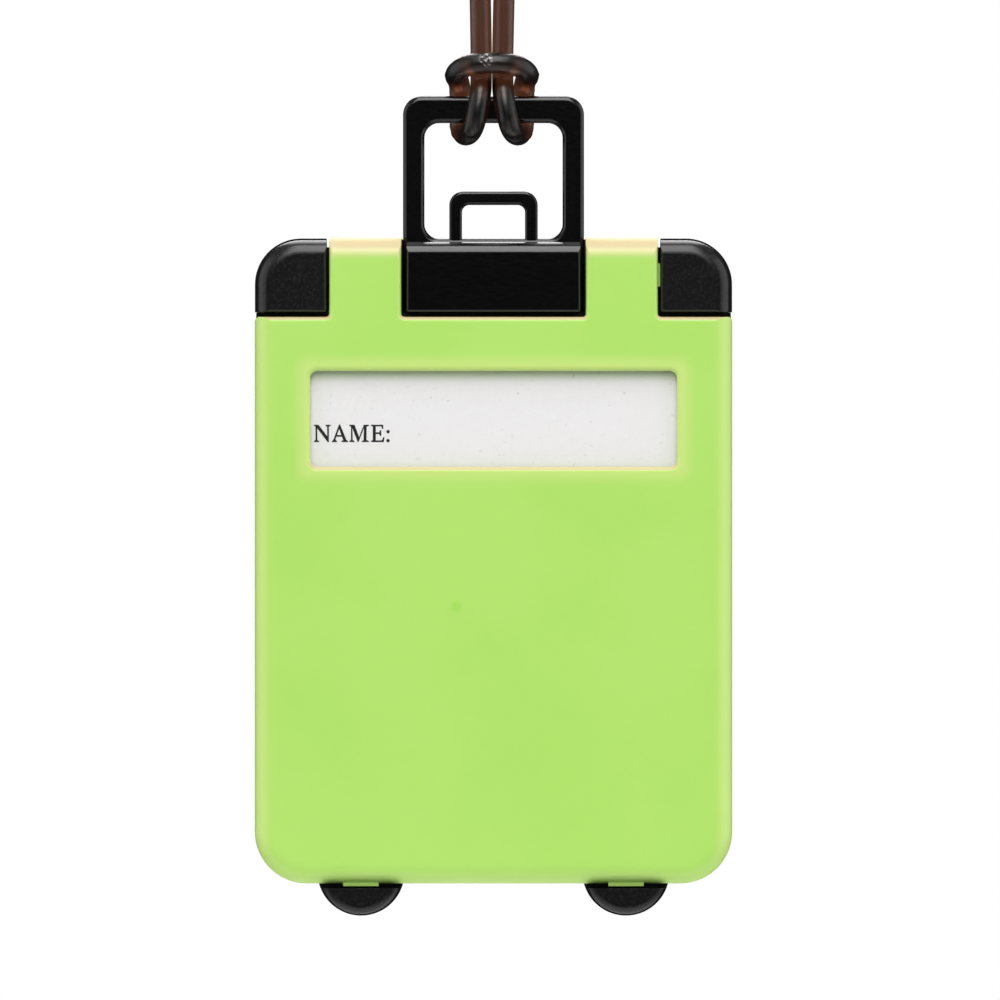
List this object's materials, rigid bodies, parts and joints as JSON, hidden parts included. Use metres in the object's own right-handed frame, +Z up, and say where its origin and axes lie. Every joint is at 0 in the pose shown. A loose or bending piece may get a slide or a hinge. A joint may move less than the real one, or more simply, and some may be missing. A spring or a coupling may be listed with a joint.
{
  "type": "luggage tag",
  "caption": "Suitcase-shaped luggage tag: clip-on covers over a black frame with handle, corner guards and wheels, card window and looped strap.",
  "frame": {"origin": "the point inside the strap's loop where it hangs on a hook", "axes": "+Z up along the hanging tag, +X to the right seen from the front, +Y towards the back cover"},
  "size_m": [0.058, 0.0091, 0.1853],
  "materials": {
    "green_abs": "satin moulded ABS, opaque lime green",
    "black_gloss_abs": "smooth moulded ABS, black",
    "black_matt_abs": "fine-grained moulded ABS, black",
    "clear_pane": "clear polystyrene sheet",
    "card": "white coated card",
    "smoke_tpu": "translucent smoke-brown moulded strap"
  },
  "bodies": {
    "strap": {"strap_loop": "smoke_tpu"},
    "core": {"core_plate": "black_matt_abs", "trolley_handle": "black_gloss_abs", "corner_guard_left": "black_matt_abs", "corner_guard_right": "black_matt_abs", "wheel_left": "black_matt_abs", "wheel_right": "black_matt_abs"},
    "front_cover": {"front_cover": "green_abs", "window_pane": "clear_pane"},
    "back_cover": {"back_cover": "green_abs"},
    "name_card": {"name_card": "card"}
  },
  "joints": [
    {"name": "strap_swing", "type": "hinge", "parent": "strap", "child": "core", "pos_m": [0, 0, -0.08475], "axis": [1, 0, 0], "range_deg": [-120, 120]},
    {"name": "front_cover_off", "type": "slide", "parent": "core", "child": "front_cover", "axis": [0, -1, 0], "range_m": [0, 0.02]},
    {"name": "back_cover_off", "type": "slide", "parent": "core", "child": "back_cover", "axis": [0, 1, 0], "range_m": [0, 0.02]},
    {"name": "card_out", "type": "slide", "parent": "core", "child": "name_card", "axis": [0, -1, 0], "range_m": [0, 0.01]}
  ],
  "couplings": [
    {"joint": "card_out", "follows": "front_cover_off", "ratio": 0.5}
  ]
}
